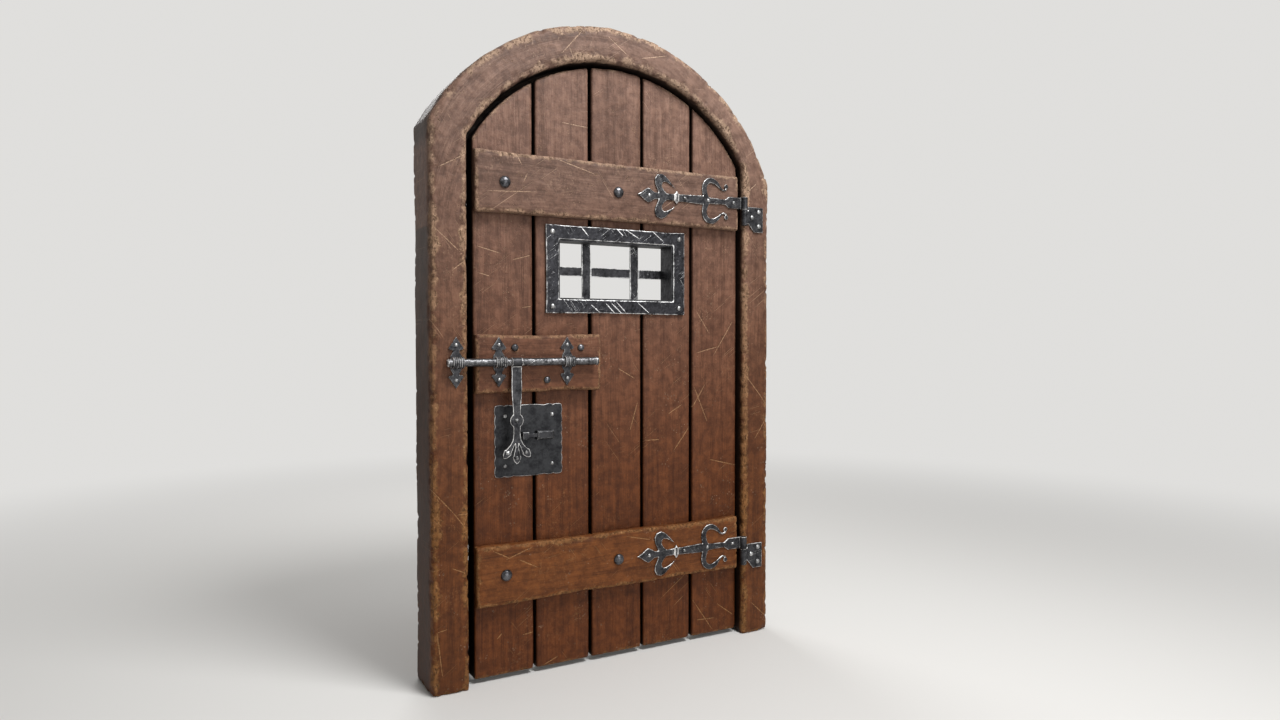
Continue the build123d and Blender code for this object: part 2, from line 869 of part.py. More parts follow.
def lobe(side, drop, turn):
    """A pointed lobe of the foot, turned outwards."""
    points = [(-lobe_radius, 0), (-8, 9), (8, 9), (lobe_radius, 0), (8.5, -14), (0, -22), (-8.5, -14)]
    return Pos(*on_hasp(side, drop)) * Rot(0, 0, turn) * polygon(points)


def hasp_face():
    """The hanging arm: waisted bar, round boss and a three-lobed foot."""
    half = eye_length / 2
    neck = boss_radius / 2
    shoulder = boss_drop - boss_radius
    arm = [(half, 8), (half - 1, 40), (half, 76), (half - 1, 104), (half - 3.5, 132), (neck + 0.5, shoulder + 6)]
    waist = [(neck, boss_drop), (neck + 0.5, boss_drop + 20), (neck, 218), (15, foot_split_drop)]
    face = hasp_arm(arm + waist) + Pos(*on_hasp(0, boss_drop)) * RegularPolygon(boss_radius, boss_sides)
    split = foot_split_drop
    for side in (-1, 1):
        bend = [on_hasp(side * 5, split - 14), on_hasp(side * 14, split + 5), on_hasp(side * lobe_offset, lobe_drop)]
        face += ribbon(bend, (12, 13, 22), 4)
        face += lobe(side * lobe_offset, lobe_drop, side * 38)
    face += hasp_arm([(6, split - 14), (5, split + 12), (11, foot_drop - 26)])
    return face + lobe(0, foot_drop - 22, 0)


def hasp_rivet_places():
    return [
        on_hasp(0, boss_drop),
        on_hasp(-lobe_offset, lobe_drop),
        on_hasp(lobe_offset, lobe_drop),
        on_hasp(0, foot_drop - 20),
    ]


def hasp():
    """The arm and its turned eye, which rides in the bolt's neck."""
    front = -bolt_stand_off - hasp_thickness / 2
    body = slab(hasp_face(), front, front + hasp_thickness)
    half = eye_length / 2
    bore = eye_neck_radius + eye_clearance
    body += bore_x(hasp_x - half, hasp_x + half, bore + eye_wall)
    body -= bore_x(hasp_x - half - 1, hasp_x + half + 1, bore)
    for x, z in hasp_rivet_places():
        body -= shank_hole(x, z, front - 1, front + hasp_thickness + 1, nail_shank)
    return body


def bolt_and_hasp():
    front = -bolt_stand_off - hasp_thickness / 2
    rivet = nail_body(fine_nail_radius, fine_nail_height, nail_shank, hasp_thickness)
    return {
        "bolt_rod": bolt_rod(),
        "hasp": hasp(),
        "hasp_rivets": placed(rivet, hasp_rivet_places(), front),
    }


# Lock plate and catch
def scallops(start, end, shares, depth):
    """A run of outward bulges between two corners; shares are parts of the run."""
    run = Vector(*end) - Vector(*start)
    along = run.normalized()
    across = Vector(-along.Y, along.X)
    edges = []
    place = Vector(*start)
    for share in shares:
        step = run * share
        crown = place + step / 2 + across * depth
        edges.append(ThreePointArc(place, crown, place + step))
        place = place + step
    return edges


def lock_plate():
    left = plate_middle_x - plate_width / 2 + scallop_depth
    right = plate_middle_x + plate_width / 2 - scallop_depth
    bottom = plate_middle_z - plate_height / 2 + scallop_depth
    top = plate_middle_z + plate_height / 2 - scallop_depth
    even = [1 / 7] * 7
    ogee = [0.13, 0.13, 0.48, 0.13, 0.13]
    edges = scallops((left, bottom), (left, top), even, scallop_depth)
    edges += scallops((left, top), (right, top), ogee, scallop_depth)
    edges += scallops((right, top), (right, bottom), even, scallop_depth)
    edges += scallops((right, bottom), (left, bottom), ogee, scallop_depth)
    return slab(make_face(edges), ledge_thickness - plate_thickness, ledge_thickness)


def plate_nail_places():
    reach_x = plate_width / 2 - plate_nail_inset
    reach_z = plate_height / 2 - plate_nail_inset
    return [(plate_middle_x + a * reach_x, plate_middle_z + b * reach_z) for a in (-1, 1) for b in (-1, 1)]


def catch_levels():
    """Front and back depth of the guide, and the depth of the bar's middle."""
    back = ledge_thickness - plate_thickness
    front = back - catch_guide_depth
    return front, back, (front + back) / 2


def catch_guide():
    front, back, middle = catch_levels()
    half = catch_guide_height / 2
    right = catch_guide_left + catch_guide_length
    body = block(catch_guide_left, right, catch_height - half, catch_height + half, front, back)
    body = chamfer(front_edges(body, front), catch_guide_bevel)
    hole = catch_neck / 2 + catch_clearance
    low = catch_height - hole
    end = right - catch_socket_end
    return body - block(catch_guide_left - 1, end, low, low + 2 * hole, middle - hole, middle + hole)


def catch_bar():
    """A square head on a thinner neck that runs into the guide."""
    middle = catch_levels()[2]
    half = catch_neck / 2
    neck_left = catch_guide_left - catch_neck_reveal
    neck_right = catch_guide_left + catch_neck_hold
    neck = block(neck_left - 1, neck_right, catch_height - half, catch_height + half, middle - half, middle + half)
    tall = catch_head_height / 2
    front = ledge_thickness - plate_thickness - catch_head_depth - catch_clearance
    head_left = neck_left - catch_head_length
    head = block(head_left, neck_left, catch_height - tall, catch_height + tall, front, front + catch_head_depth)
    return neck + chamfer(front_edges(head, front), catch_head_bevel)


def lock():
    fine = nail_body(fine_nail_radius, fine_nail_height, nail_shank, nail_length)
    holes = nail_holes(plate_nail_places(), ledge_thickness - plate_thickness)
    return {
        "lock_plate": cut_where_met(lock_plate(), holes),
        "lock_plate_nails": placed(fine, plate_nail_places(), ledge_thickness - plate_thickness),
        "catch_guide": catch_guide(),
        "catch_bar": catch_bar(),
    }


def nail_holes(places, seat):
    """Holes for nails whose heads seat at a depth."""
    return [shank_hole(x, z, seat - 1, seat + nail_length + 1, nail_shank) for x, z in places]


def grille_nail_holes():
    seat = leaf_back + bar_thickness
    return [shank_hole(x, z, seat - nail_length - 1, seat + 1, nail_shank) for x, z in grille_nail_places()]


def leaf_nail_holes():
    holes = stud_holes() + grille_nail_holes()
    for level in hinge_levels.values():
        holes += nail_holes(strap_rivet_places(level), -strap_thickness)
    for x in (outer_keeper_x, inner_keeper_x):
        holes += nail_holes(keeper_rivet_places(x), -keeper_thickness)
    holes += nail_holes(border_rivet_places(), ledge_thickness - border_thickness)
    return holes + nail_holes(plate_nail_places(), ledge_thickness - plate_thickness)


def jamb_nail_holes():
    holes = nail_holes(keeper_rivet_places(frame_keeper_x), -keeper_thickness)
    for level in hinge_levels.values():
        holes += nail_holes(pintle_rivet_places(level), -strap_thickness)
    return holes


def window():
    full = nail_body(nail_head_radius, nail_head_height, nail_shank, nail_length)
    turned = Rot(0, 0, 180) * full
    border_front = ledge_thickness - border_thickness
    bar_holes = grille_nail_holes()
    return {
        "window_border": cut_where_met(window_border(), nail_holes(border_rivet_places(), border_front)),
        "window_rivets": placed(full, border_rivet_places(), border_front),
        "window_liner": window_liner(),
        "grille_bar_left": cut_where_met(grille_upright(bar_offsets[0]), bar_holes),
        "grille_bar_right": cut_where_met(grille_upright(bar_offsets[1]), bar_holes),
        "grille_crossbar": cut_where_met(grille_crossbar(), bar_holes),
        "grille_nails": placed(turned, grille_nail_places(), leaf_back + bar_thickness),
    }


def build():
    left_jamb, right_jamb, arch_head = split_frame()
    nodes = {"arch_head": arch_head}
    nodes["left_jamb"] = cut_where_met(left_jamb, jamb_nail_holes())
    nodes["right_jamb"] = cut_where_met(right_jamb, jamb_nail_holes())
    nodes["head_pegs"] = [peg(side, peg_radius, peg_depth + peg_end_gap) for side in (-1, 1)]
    holes = leaf_nail_holes()
    for name, body in (planks() | ledges()).items():
        nodes[name] = cut_where_met(body, holes)
    nodes["stud_roves"] = roves()
    return nodes | studs() | window() | hinges() | keepers() | bolt_and_hasp() | lock()


os.makedirs("parts", exist_ok=True)
for node, shape in build().items():
    pieces = shape if isinstance(shape, list) else [shape]
    solids = [solid for piece in pieces for solid in piece.solids()]
    export_step(Compound(children=solids) if len(solids) > 1 else solids[0], f"parts/{node}.step")
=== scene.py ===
# %% [markdown]
# # A round-headed plank door in its timber frame
# The door is already modelled to size as a set of plain solids. This script loads those solids as a fixed
# frame, dresses each of them as the real material, and sets up a camera to photograph it. Every place is in metres,
# in the same axes as the solids: X across the door, Y into it, Z up.

# %% Load the fixed frame
import bpy
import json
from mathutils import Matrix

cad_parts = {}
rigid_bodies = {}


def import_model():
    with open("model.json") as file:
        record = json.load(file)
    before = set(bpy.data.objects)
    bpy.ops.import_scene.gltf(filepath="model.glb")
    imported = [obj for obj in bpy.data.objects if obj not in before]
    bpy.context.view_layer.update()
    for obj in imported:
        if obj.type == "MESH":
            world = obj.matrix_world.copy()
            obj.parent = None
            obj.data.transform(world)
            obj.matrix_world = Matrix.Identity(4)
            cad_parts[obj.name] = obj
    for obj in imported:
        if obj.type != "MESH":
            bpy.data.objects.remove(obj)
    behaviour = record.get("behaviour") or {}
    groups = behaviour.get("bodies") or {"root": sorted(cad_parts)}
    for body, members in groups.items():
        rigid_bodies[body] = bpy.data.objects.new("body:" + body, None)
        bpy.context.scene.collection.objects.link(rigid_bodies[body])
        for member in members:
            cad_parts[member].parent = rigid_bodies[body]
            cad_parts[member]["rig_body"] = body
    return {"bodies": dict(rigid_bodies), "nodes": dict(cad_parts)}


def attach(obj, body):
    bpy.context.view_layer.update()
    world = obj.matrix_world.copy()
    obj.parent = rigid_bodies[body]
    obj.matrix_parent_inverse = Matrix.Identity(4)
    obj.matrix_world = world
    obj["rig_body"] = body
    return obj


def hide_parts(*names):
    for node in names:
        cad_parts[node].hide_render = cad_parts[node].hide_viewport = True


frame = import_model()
nodes = frame["nodes"]
kept = set(nodes.values()) | set(frame["bodies"].values())
for spare in [thing for thing in bpy.context.scene.objects if thing not in kept]:
    bpy.data.objects.remove(spare)
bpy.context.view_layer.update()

# %% [markdown]
# ## Camera
# The photograph was taken from in front and to the left of the door, at about breast height, with a
# fairly wide lens. The place, turn and lens come from fitting the door's own corners to the picture.

# %% Set up the camera
import math
lens = bpy.data.cameras.new("camera")
lens.sensor_width = 36.0
lens.lens = 23.80
camera = bpy.data.objects.new("camera", lens)
camera.location = (-1.2837, -2.5465, 1.0727)
camera.rotation_euler = (math.radians(88.49), 0.0, math.radians(-28.9))
bpy.context.scene.collection.objects.link(camera)
bpy.context.scene.camera = camera
print("camera distance:", round(camera.location.length, 2), "m")

# %% [markdown]
# ## Floor, backdrop and light
# A plain pale floor carries the door. The world is pale too, and only rays that go straight to the
# camera, or bounce off something glossy, see it at full strength, so that it lights the door gently. A
# broad lamp high in front gives the soft light from above that the photograph has. A weaker one lower down
# fills the shadows, and a third behind the door lights its back. Far out, the floor fades into the
# backdrop, so that no horizon shows.

# %% A helper that adds a shader node
def add(tree, kind, sockets=None, **settings):
    node = tree.nodes.new("ShaderNode" + kind)
    for name, value in settings.items():
        setattr(node, name, value)
    for name, value in (sockets or {}).items():
        if isinstance(value, bpy.types.NodeSocket):
            tree.links.new(value, node.inputs[name])
        else:
            node.inputs[name].default_value = value
    return node

# %% Pale world
backdrop_colour = (0.93, 0.92, 0.90, 1.0)
backdrop_strength = 0.8
world = bpy.data.worlds.new("pale_room")
world.use_nodes = True
bpy.context.scene.world = world
sky = world.node_tree
sky.nodes.clear()
path = add(sky, "LightPath")
direct = {0: path.outputs["Is Camera Ray"], 1: path.outputs["Is Glossy Ray"]}
seen = add(sky, "Math", direct, operation="MAXIMUM")
seen = add(sky, "Math", {0: seen.outputs[0], 1: path.outputs["Is Transmission Ray"]}, operation="MAXIMUM")
strength = add(sky, "MapRange", {"Value": seen.outputs[0], "To Min": 0.26, "To Max": backdrop_strength})
glow = add(sky, "Background", {"Color": backdrop_colour, "Strength": strength.outputs["Result"]})
add(sky, "OutputWorld", {"Surface": glow.outputs[0]})
bpy.context.scene.view_settings.view_transform = "Standard"
print("world nodes:", len(sky.nodes))

# %% Pale floor
import bmesh

def as_object(name, shape):
    mesh = bpy.data.meshes.new(name)
    shape.to_mesh(mesh)
    shape.free()
    thing = bpy.data.objects.new(name, mesh)
    bpy.context.scene.collection.objects.link(thing)
    return thing

ground = bmesh.new()
floor_radius = 60.0
bmesh.ops.create_circle(ground, cap_ends=True, radius=floor_radius, segments=96)
floor = as_object("floor", ground)
pale = bpy.data.materials.new("pale_floor")
pale.use_nodes = True
lino = pale.node_tree
matt = lino.nodes["Principled BSDF"]
matt.inputs["Base Color"].default_value = (0.70, 0.69, 0.67, 1.0)
matt.inputs["Roughness"].default_value = 0.9
away = add(lino, "VectorMath", {0: add(lino, "TexCoord").outputs["Object"]}, operation="LENGTH").outputs["Value"]
far = add(lino, "MapRange", {"Value": away, "From Min": 1.6, "From Max": 5.5}, interpolation_type="SMOOTHSTEP")
to_camera = add(lino, "LightPath").outputs["Is Camera Ray"]
by_eye = add(lino, "Math", {0: far.outputs["Result"], 1: to_camera}, operation="MULTIPLY")
haze = add(lino, "Emission", {"Color": backdrop_colour, "Strength": backdrop_strength})
blend = add(lino, "MixShader", {0: by_eye.outputs[0], 1: matt.outputs[0], 2: haze.outputs[0]})
lino.links.new(blend.outputs[0], lino.nodes["Material Output"].inputs["Surface"])
floor.data.materials.append(pale)
print("floor radius:", floor_radius, "m")

# %% Soft lamps
from mathutils import Vector

def lamp(name, place, aim, width, power):
    light = bpy.data.lights.new(name, "AREA")
    light.shape = "DISK"
    light.size = width
    light.energy = power
    thing = bpy.data.objects.new(name, light)
    thing.location = place
    thing.rotation_euler = (Vector(aim) - Vector(place)).to_track_quat("-Z", "Y").to_euler()
    bpy.context.scene.collection.objects.link(thing)

lamp("high_front", (0.6, -2.0, 4.0), (0.0, 0.0, 1.1), 1.6, 150.0)
lamp("low_front", (0.6, -4.4, 1.6), (0.0, 0.0, 0.9), 2.2, 50.0)
lamp("high_back", (0.4, 3.6, 3.2), (0.0, 0.0, 1.0), 2.2, 80.0)
print("lamps:", len(bpy.data.lights))

# %% [markdown]
# ## Shader groups for the wood
# Old oiled timber shows four things at once: fibres and growth bands that run along the board, pale worn
# wood where an arris has been knocked, thin tan scratches that cross the grain, and small pits. Each is
# one node group, so that the frame and the leaf share them. A board's own directions are kept on its mesh
# as an attribute (across, through, along), and the patterns read that instead of the room's axes. A second
# attribute, near_arris, is 1 on a sharp edge and falls to 0 at edge_range from it.

# %% Helpers for node groups
edge_range = 0.05

def new_group(name, takes, gives):
    group = bpy.data.node_groups.new(name, "ShaderNodeTree")
    for label, kind, value in takes:
        socket = group.interface.new_socket(label, in_out="INPUT", socket_type="NodeSocket" + kind)
        if value is not None:
            socket.default_value = value
    for label, kind in gives:
        group.interface.new_socket(label, in_out="OUTPUT", socket_type="NodeSocket" + kind)
    return group, group.nodes.new("NodeGroupInput").outputs, group.nodes.new("NodeGroupOutput").inputs

def stretch(tree, place, across, through, along):
    return add(tree, "VectorMath", {0: place, 1: (across, through, along)}, operation="MULTIPLY").outputs[0]

def cloud(tree, place, scale, detail=4.0, rough=0.55, bend=0.0):
    sockets = {"Vector": place, "Scale": scale, "Detail": detail, "Roughness": rough, "Distortion": bend}
    return add(tree, "TexNoise", sockets).outputs[0]

def fade(tree, value, start, end):
    sockets = {"Value": value, "From Min": start, "From Max": end}
    return add(tree, "MapRange", sockets, interpolation_type="SMOOTHSTEP").outputs["Result"]

def calc(tree, operation, first, second=0.0):
    return add(tree, "Math", {0: first, 1: second}, operation=operation).outputs[0]

def tint(tree, amount, under, over, how="MIX"):
    return add(tree, "Mix", {0: amount, 6: under, 7: over}, data_type="RGBA", blend_type=how).outputs[2]

def join(tree, output, value):
    tree.links.new(value, output)

# %% Wood grain group
def make_grain_group():
    takes = [("Board place", "Vector", None), ("Deep", "Color", (0.088, 0.040, 0.022, 1.0))]
    takes += [("Body", "Color", (0.16, 0.078, 0.045, 1.0)), ("Pale", "Color", (0.235, 0.125, 0.075, 1.0))]
    group, into, out = new_group("wood_grain", takes, [("Colour", "Color"), ("Height", "Float")])
    place = into["Board place"]
    fibres = cloud(group, stretch(group, place, 420.0, 420.0, 14.0), 1.0, 5.0, 0.7)
    streaks = cloud(group, stretch(group, place, 52.0, 52.0, 1.3), 1.0, 4.0, 0.6, 0.4)
    figure = cloud(group, stretch(group, place, 9.0, 9.0, 1.1), 1.0, 2.0, 0.4)
    rings = calc(group, "SINE", calc(group, "MULTIPLY", figure, 95.0))
    patches = cloud(group, stretch(group, place, 7.0, 7.0, 3.0), 1.0, 3.0, 0.5)
    body = tint(group, fade(group, streaks, 0.26, 0.60), into["Deep"], into["Body"])
    body = tint(group, calc(group, "MULTIPLY", fade(group, fibres, 0.44, 0.76), 0.8), body, into["Pale"])
    body = tint(group, calc(group, "MULTIPLY", fade(group, rings, 0.2, 1.0), 0.30), body, into["Deep"])
    body = tint(group, calc(group, "MULTIPLY", fade(group, patches, 0.50, 0.70), 0.45), body, into["Deep"])
    join(group, out["Colour"], body)
    height = calc(group, "ADD", fibres, calc(group, "MULTIPLY", streaks, 0.8))
    join(group, out["Height"], height)
    return group

grain_group = make_grain_group()
print("wood grain:", len(grain_group.nodes), "nodes")

# %% Worn arris group
def make_wear_group():
    takes = [("Place", "Vector", None), ("Near arris", "Float", 0.0)]
    takes += [("Reach", "Float", 0.01), ("Patches", "Float", 0.5)]
    group, into, out = new_group("worn_arris", takes, [("Wear", "Float"), ("Chips", "Float"), ("Flecks", "Float")])
    coarse = cloud(group, into["Place"], 26.0, 5.0, 0.62)
    fine = cloud(group, into["Place"], 210.0, 4.0, 0.65)
    ragged = calc(group, "ADD", calc(group, "MULTIPLY", coarse, 4.4), calc(group, "MULTIPLY", fine, 1.2))
    rubbed = fade(group, cloud(group, into["Place"], 7.5, 4.0, 0.6), 0.50, 0.72)
    ragged = calc(group, "ADD", ragged, calc(group, "MULTIPLY", rubbed, into["Patches"]))
    gap = calc(group, "MULTIPLY", calc(group, "SUBTRACT", 1.0, into["Near arris"]), edge_range)
    edge = calc(group, "DIVIDE", gap, into["Reach"])
    wear = fade(group, calc(group, "SUBTRACT", ragged, calc(group, "MINIMUM", edge, 3.2)), 1.70, 2.60)
    join(group, out["Wear"], wear)
    flakes = cloud(group, stretch(group, into["Place"], 150.0, 150.0, 90.0), 1.0, 5.0, 0.75)
    join(group, out["Chips"], calc(group, "MULTIPLY", wear, fade(group, flakes, 0.53, 0.60)))
    bright = cloud(group, stretch(group, into["Place"], 190.0, 190.0, 120.0), 1.0, 4.0, 0.7)
    spread = calc(group, "ADD", calc(group, "MULTIPLY", wear, 0.75), calc(group, "MULTIPLY", rubbed, 0.35))
    join(group, out["Flecks"], calc(group, "MULTIPLY", spread, fade(group, bright, 0.56, 0.64)))
    return group

wear_group = make_wear_group()
print("worn arris:", len(wear_group.nodes), "nodes")

# %% Scratch and pit groups
def streak_set(tree, place, turn, spread, gate):
    turned = add(tree, "VectorRotate", {"Vector": place, "Angle": turn}, rotation_type="Y_AXIS").outputs[0]
    line = cloud(tree, stretch(tree, turned, 4.5, 1.0, 380.0), 1.0, 1.0, 0.5)
    where = cloud(tree, stretch(tree, turned, spread, 3.0, spread), 1.0, 2.0, 0.5)
    return calc(tree, "MULTIPLY", fade(tree, line, 0.68, 0.72), fade(tree, where, gate, gate + 0.05))

def make_scratch_group():
    takes = [("Place", "Vector", None), ("Gate", "Float", 0.6), ("Closeness", "Float", 1.0)]
    group, into, out = new_group("scratches", takes, [("Mask", "Float")])
    place = add(group, "VectorMath", {0: into["Place"], "Scale": into["Closeness"]}, operation="SCALE").outputs[0]
    first = streak_set(group, place, 0.62, 5.0, 0.56)
    second = streak_set(group, place, -0.95, 6.0, 0.58)
    third = streak_set(group, place, 0.20, 8.0, 0.60)
    mask = calc(group, "MAXIMUM", calc(group, "MAXIMUM", first, second), third)
    join(group, out["Mask"], calc(group, "MULTIPLY", mask, into["Gate"]))
    return group

def make_pit_group():
    takes = [("Place", "Vector", None), ("Size", "Float", 90.0)]
    group, into, out = new_group("pits", takes, [("Pit", "Float"), ("Rim", "Float")])
    sockets = {"Vector": into["Place"], "Scale": into["Size"], "Randomness": 1.0}
    distance = add(group, "TexVoronoi", sockets).outputs["Distance"]
    gate = fade(group, cloud(group, into["Place"], 16.0, 4.0, 0.6), 0.55, 0.66)
    pit = calc(group, "SUBTRACT", 1.0, fade(group, distance, 0.13, 0.20))
    rim = calc(group, "SUBTRACT", calc(group, "SUBTRACT", 1.0, fade(group, distance, 0.20, 0.27)), pit)
    join(group, out["Pit"], calc(group, "MULTIPLY", pit, gate))
    join(group, out["Rim"], calc(group, "MULTIPLY", rim, gate))
    return group

scratch_group = make_scratch_group()
pit_group = make_pit_group()
print("scratches:", len(scratch_group.nodes), "nodes, pits:", len(pit_group.nodes), "nodes")

# %% [markdown]
# ## Long scratches
# The small scratches above fall anywhere, but the photograph also shows long ones that a visitor would
# remember: a cross on the bottom ledge, a split-looking line on the left upright, a bundle of file marks
# on the window's border. Each is drawn as a straight stroke between two points of the door's face, which
# are given as X and Z in metres. The group measures how far a point is from the stroke, thins the stroke
# towards both ends, and breaks it up a little.

# %% Gouge group
def make_gouge_group():
    takes = [("Place", "Vector", None), ("Start", "Vector", None), ("End", "Vector", None)]
    takes += [("Width", "Float", 0.0016)]
    group, into, out = new_group("gouge", takes, [("Mask", "Float")])
    flat = stretch(group, into["Place"], 1.0, 0.0, 1.0)
    whole = add(group, "VectorMath", {0: into["End"], 1: into["Start"]}, operation="SUBTRACT").outputs[0]
    gone = add(group, "VectorMath", {0: flat, 1: into["Start"]}, operation="SUBTRACT").outputs[0]
    along = add(group, "VectorMath", {0: gone, 1: whole}, operation="DOT_PRODUCT").outputs["Value"]
    length = add(group, "VectorMath", {0: whole, 1: whole}, operation="DOT_PRODUCT").outputs["Value"]
    part = add(group, "Math", {0: along, 1: length}, operation="DIVIDE", use_clamp=True).outputs[0]
    reached = add(group, "VectorMath", {0: whole, "Scale": part}, operation="SCALE").outputs[0]
    nearest = add(group, "VectorMath", {0: into["Start"], 1: reached}, operation="ADD").outputs[0]
    gap = add(group, "VectorMath", {0: flat, 1: nearest}, operation="DISTANCE").outputs["Value"]
    shake = calc(group, "MULTIPLY", calc(group, "SUBTRACT", cloud(group, flat, 170.0, 3.0, 0.7), 0.45), 0.004)
    to_ends = calc(group, "MULTIPLY", part, calc(group, "SUBTRACT", 1.0, part))
    taper = calc(group, "ADD", 0.2, calc(group, "MULTIPLY", calc(group, "POWER", to_ends, 0.5), 1.8))
    edge = calc(group, "DIVIDE", calc(group, "ADD", gap, shake), calc(group, "MULTIPLY", into["Width"], taper))
    broken = fade(group, cloud(group, flat, 240.0, 3.0, 0.7), 0.36, 0.50)
    line = calc(group, "SUBTRACT", 1.0, fade(group, edge, 0.5, 1.1))
    join(group, out["Mask"], calc(group, "MULTIPLY", line, broken))
    return group

gouge_group = make_gouge_group()
print("gouge:", len(gouge_group.nodes), "nodes")

# %% Strokes seen on the door
frame_gouges = [
    (-0.595, 1.575, -0.510, 1.622), (-0.606, 1.397, -0.528, 1.327), (-0.556, 1.271, -0.514, 1.305),
    (0.508, 0.947, 0.610, 0.831), (0.557, 0.707, 0.611, 0.783), (0.545, 0.111, 0.609, 0.053),
    (-0.621, 0.623, -0.554, 0.547), (-0.554, 0.547, -0.517, 0.498), (-0.544, 0.541, -0.505, 0.541),
    (-0.606, 0.194, -0.591, 0.061), (-0.604, 0.194, -0.576, 0.200), (-0.559, 0.381, -0.518, 0.362),
    (-0.036, 2.050, 0.043, 1.996), (-0.128, 2.051, -0.199, 1.969), (-0.172, 1.993, -0.156, 1.959),
    (0.084, 1.997, 0.186, 2.022), (0.519, 1.590, 0.561, 1.626),
]
leaf_gouges = [
    (-0.446, 1.518, -0.288, 1.527), (-0.215, 1.636, -0.081, 1.600), (-0.353, 1.641, -0.333, 1.605),
    (-0.328, 1.554, -0.315, 1.583), (0.032, 0.411, 0.123, 0.390), (-0.433, 0.419, -0.377, 0.389),
    (-0.390, 0.386, -0.300, 0.417), (-0.350, 0.383, -0.285, 0.349), (-0.469, 1.354, -0.391, 1.334),
    (-0.356, 1.315, -0.295, 1.332), (-0.465, 1.273, -0.424, 1.262), (-0.184, 1.762, -0.092, 1.756),
    (-0.322, 1.167, -0.291, 1.173), (0.327, 1.167, 0.382, 1.087), (0.480, 1.130, 0.400, 1.010),
    (0.327, 1.019, 0.419, 1.041), (0.318, 0.901, 0.373, 0.776), (0.309, 0.825, 0.363, 0.907),
    (0.383, 0.640, 0.495, 0.612), (0.212, 0.809, 0.269, 0.841), (0.234, 0.680, 0.301, 0.764),
    (0.122, 0.723, 0.177, 0.723), (0.018, 0.970, 0.080, 0.936), (0.063, 0.761, 0.092, 0.855),
    (0.315, 0.144, 0.398, 0.026), (0.417, 0.117, 0.488, 0.066), (0.329, 0.072, 0.403, 0.068),
    (-0.323, 0.131, -0.288, 0.134), (-0.408, 0.131, -0.393, 0.147), (-0.252, 0.021, -0.202, 0.041),
]
border_gouges = [
    (-0.125, 1.435, -0.094, 1.401), (0.040, 1.433, 0.092, 1.405), (0.138, 1.437, 0.186, 1.401),
    (-0.033, 1.186, 0.001, 1.153), (-0.013, 1.188, 0.027, 1.153), (0.007, 1.191, 0.044, 1.155),
    (0.089, 1.189, 0.131, 1.156), (-0.088, 1.182, -0.053, 1.154), (0.007, 1.434, 0.032, 1.411),
]
print("strokes:", len(frame_gouges) + len(leaf_gouges) + len(border_gouges))

# %% [markdown]
# ## Wood materials
# The frame and the leaf are the same timber, but the frame is more worn: its outer arris is a broad
# rounded band that has gone golden. The body colour moves with the height of the point: it is painted lighter,
# greyer and cooler towards the head and warmer and darker low down, a painted sheen of the light from above.
# The long ledges get their own painted height light, lighter than the planks near the floor and darker near the head.

# %% Make a wood material
def new_material(name):
    material = bpy.data.materials.new(name)
    material.use_nodes = True
    tree = material.node_tree
    return material, tree, tree.nodes["Principled BSDF"].inputs

def use_group(tree, group, sockets):
    return add(tree, "Group", sockets, node_tree=group).outputs

def draw_gouges(tree, place, strokes, width):
    mask = 0.0
    for x_start, z_start, x_end, z_end in strokes:
        start, end = (x_start, 0.0, z_start), (x_end, 0.0, z_end)
        sockets = {"Place": place, "Start": start, "End": end, "Width": width}
        mask = calc(tree, "MAXIMUM", mask, use_group(tree, gouge_group, sockets)["Mask"])
    depth = add(tree, "SeparateXYZ", {0: place}).outputs["Y"]
    on_front = calc(tree, "LESS_THAN", depth, -0.02)
    return calc(tree, "MULTIPLY", mask, on_front)

